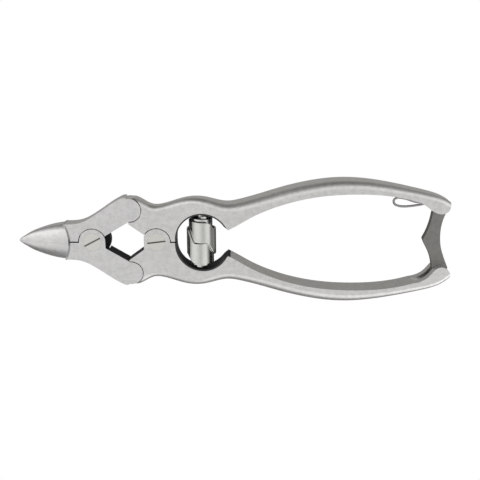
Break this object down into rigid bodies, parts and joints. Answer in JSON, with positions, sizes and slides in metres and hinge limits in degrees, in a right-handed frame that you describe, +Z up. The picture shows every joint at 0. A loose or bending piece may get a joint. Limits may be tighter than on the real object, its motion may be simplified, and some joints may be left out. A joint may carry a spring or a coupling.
{
  "type": "nail nipper",
  "caption": "Double-action nail nipper: pointed jaws, four-pivot linkage, bowed handles, barrel spring between the handles and a sprung locking catch at their ends.",
  "frame": {"origin": "middle of the closed nipper's length and width, on the plane under its lowest point, the barrel spring", "axes": "+X along the handles towards the catch, with the jaws' points towards -X; +Y towards the upper handle, which carries the catch; +Z up through the thickness, as the nipper lies flat with its screw heads upwards"},
  "size_m": [0.1584, 0.0462, 0.0104],
  "materials": {
    "jaws": "satin stainless steel with a polished cutting head",
    "handles": "satin stainless steel",
    "screws": "fine turned stainless steel",
    "pins": "ground flush",
    "spring": "polished spring steel",
    "catch": "matte blasted stainless steel"
  },
  "bodies": {
    "lower_handle": {"lower_handle": "handles", "lower_spring_stud": "pins", "striker_pin": "pins", "barrel_spring": "spring"},
    "upper_handle": {"upper_handle": "handles", "upper_spring_stud": "pins", "rear_pivot_screw": "screws", "catch_pin": "pins", "catch_spring": "spring"},
    "lower_jaw": {"lower_jaw": "jaws", "lower_link_pin": "pins"},
    "upper_jaw": {"upper_jaw": "jaws", "upper_link_pin": "pins", "front_pivot_screw": "screws"},
    "catch": {"catch_bar": "catch"}
  },
  "joints": [
    {"name": "handle_hinge", "type": "hinge", "parent": "lower_handle", "child": "upper_handle", "pos_m": [-0.02856, 0, 0.00537], "axis": [0, 0, 1], "range_deg": [0, 20], "deforming": ["barrel_spring"]},
    {"name": "lower_knuckle_hinge", "type": "hinge", "parent": "lower_handle", "child": "lower_jaw", "pos_m": [-0.03816, -0.01195, 0.00537], "axis": [0, 0, 1], "range_deg": [0, 17.3]},
    {"name": "jaw_hinge", "type": "hinge", "parent": "lower_jaw", "child": "upper_jaw", "pos_m": [-0.05196, 0, 0.00537], "axis": [0, 0, 1], "range_deg": [-14.6, 0]},
    {"name": "catch_hinge", "type": "hinge", "parent": "upper_handle", "child": "catch", "pos_m": [0.07434, 0.0133, 0.00537], "axis": [0, 0, -1], "range_deg": [0, 45]}
  ],
  "couplings": [
    {"joint": "lower_knuckle_hinge", "follows": "handle_hinge", "ratio": 0.8621},
    {"joint": "jaw_hinge", "follows": "handle_hinge", "ratio": -0.7241}
  ]
}
